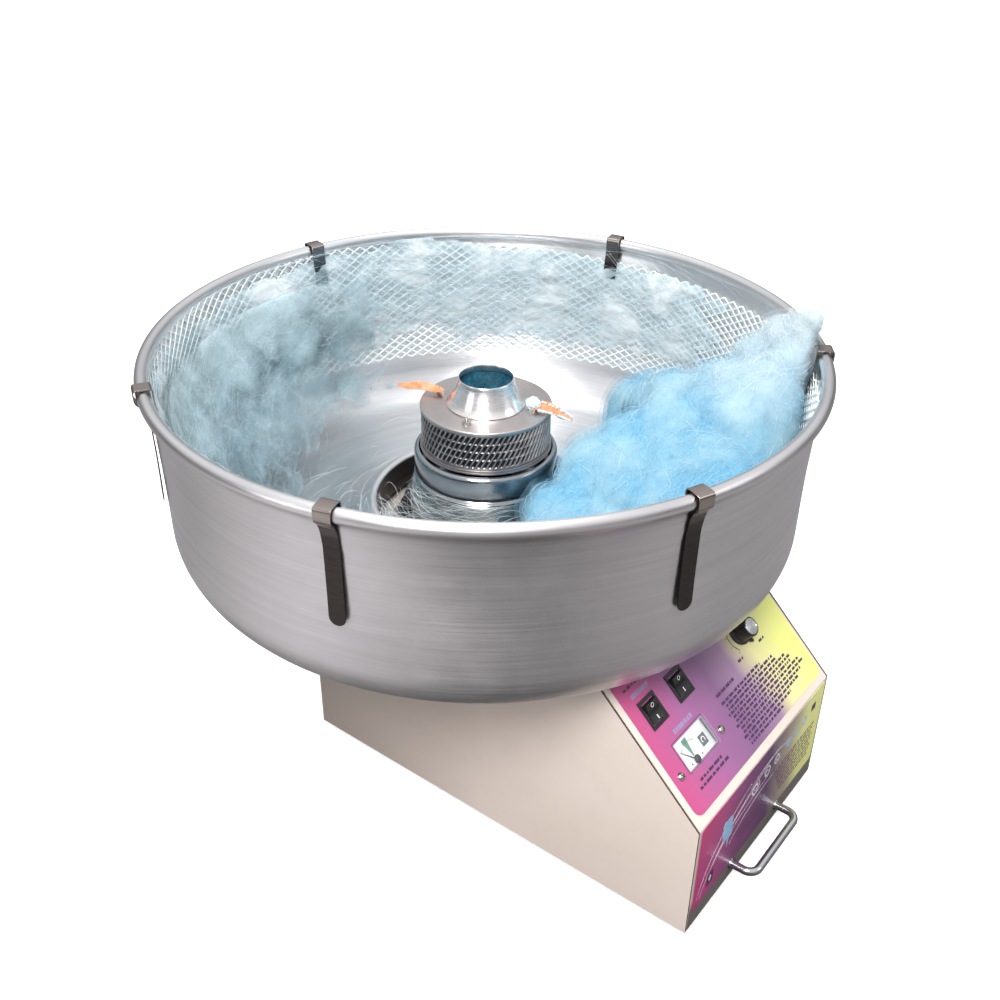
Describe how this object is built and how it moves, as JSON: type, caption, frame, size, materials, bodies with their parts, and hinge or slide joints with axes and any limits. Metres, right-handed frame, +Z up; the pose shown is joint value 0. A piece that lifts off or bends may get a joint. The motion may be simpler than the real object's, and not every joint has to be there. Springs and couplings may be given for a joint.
{
  "type": "cotton candy machine",
  "caption": "Tabletop cotton candy machine: sheet-steel cabinet with a sloped control panel, spinning sugar head and round spun bowl with netting, clips and spun sugar.",
  "frame": {"origin": "at floor level under the middle of the outline seen from above; the head's spin axis stands 24 mm behind it", "axes": "+Z up; the control panel and its handle face -Y; +X is on the right of a person who stands in front of the panel and looks along +Y"},
  "size_m": [0.66, 0.7065, 0.486],
  "materials": {
    "cabinet_paint": "satin",
    "base_steel": "satin",
    "rubber": "matte",
    "handle_chrome": "polished",
    "control_print": "satin",
    "front_print": "satin",
    "black_plastic": "satin",
    "switch_black": "gloss",
    "meter_clear": "gloss",
    "meter_white": "satin",
    "needle_black": "satin",
    "screw_steel": "satin",
    "cap_silver": "polished",
    "motor_paint": "satin",
    "inner_steel": "satin",
    "brass": "satin",
    "skirt_steel": "satin",
    "cup_steel": "polished",
    "band_steel": "satin",
    "head_steel": "satin",
    "streamer_cloth": "matte",
    "bowl_aluminium": "satin",
    "netting_white": "satin",
    "clip_steel": "polished",
    "floss_blue": "matte"
  },
  "bodies": {
    "cabinet": {"base_plate": "base_steel", "foot_front_left": "rubber", "foot_front_right": "rubber", "foot_rear_left": "rubber", "foot_rear_right": "rubber", "left_side_panel": "cabinet_paint", "right_side_panel": "cabinet_paint", "front_panel": "cabinet_paint", "control_panel": "cabinet_paint", "top_deck": "cabinet_paint", "rear_panel": "cabinet_paint", "front_handle": "handle_chrome", "control_decal": "control_print", "front_decal": "front_print", "cord_gland": "black_plastic", "main_switch_housing": "switch_black", "heat_switch_housing": "switch_black", "meter_case": "meter_clear", "meter_scale": "meter_white", "panel_screw_left": "screw_steel", "panel_screw_right": "screw_steel", "heat_control_body": "motor_paint", "motor_housing": "motor_paint", "motor_mount_plate": "inner_steel", "motor_mount_rubber_left": "rubber", "motor_mount_rubber_right": "rubber", "brush_block": "black_plastic", "head_skirt": "skirt_steel", "head_cup": "cup_steel", "bowl_seat_ring": "rubber"},
    "main_rocker": {"main_switch_rocker": "switch_black"},
    "heat_rocker": {"heat_switch_rocker": "switch_black"},
    "needle": {"meter_needle": "needle_black"},
    "knob": {"heat_knob": "switch_black", "heat_knob_cap": "cap_silver"},
    "spinner": {"motor_shaft": "inner_steel", "slip_ring_hub": "black_plastic", "slip_ring_lower": "brass", "slip_ring_upper": "brass", "spinner_base": "skirt_steel", "perforated_band": "band_steel", "heater_ribbon": "inner_steel", "head_top_plate": "head_steel", "funnel": "head_steel", "terminal_nut_1": "screw_steel", "terminal_nut_2": "screw_steel", "terminal_nut_3": "screw_steel", "terminal_nut_4": "screw_steel", "streamer_left": "streamer_cloth", "streamer_right": "streamer_cloth"},
    "bowl": {"bowl": "bowl_aluminium", "bowl_netting": "netting_white", "bowl_clip_1": "clip_steel", "bowl_clip_2": "clip_steel", "bowl_clip_3": "clip_steel", "bowl_clip_4": "clip_steel", "bowl_clip_5": "clip_steel", "bowl_clip_6": "clip_steel", "floss_wall": "floss_blue", "floss_heap": "floss_blue"}
  },
  "joints": [
    {"name": "spinner_spin", "type": "hinge", "parent": "cabinet", "child": "spinner", "pos_m": [0, 0.024, 0.38], "axis": [0, 0, 1], "continuous": true},
    {"name": "bowl_lift", "type": "slide", "parent": "cabinet", "child": "bowl", "axis": [0, 0, 1], "range_m": [0, 0.2]},
    {"name": "heat_knob_turn", "type": "hinge", "parent": "cabinet", "child": "knob", "pos_m": [0.059, -0.25028, 0.21481], "axis": [0, -0.6934, 0.7206], "range_deg": [0, 280]},
    {"name": "main_switch_rock", "type": "hinge", "parent": "cabinet", "child": "main_rocker", "pos_m": [-0.098, -0.24531, 0.2196], "axis": [-1, 0, 0], "range_deg": [0, 20]},
    {"name": "heat_switch_rock", "type": "hinge", "parent": "cabinet", "child": "heat_rocker", "pos_m": [-0.051, -0.24531, 0.2196], "axis": [-1, 0, 0], "range_deg": [0, 20]},
    {"name": "meter_needle_swing", "type": "hinge", "parent": "cabinet", "child": "needle", "pos_m": [-0.087, -0.28968, 0.17787], "axis": [0, 0.6934, -0.7206], "range_deg": [0, 75], "stiffness_Nm_per_rad": 0.0002}
  ]
}
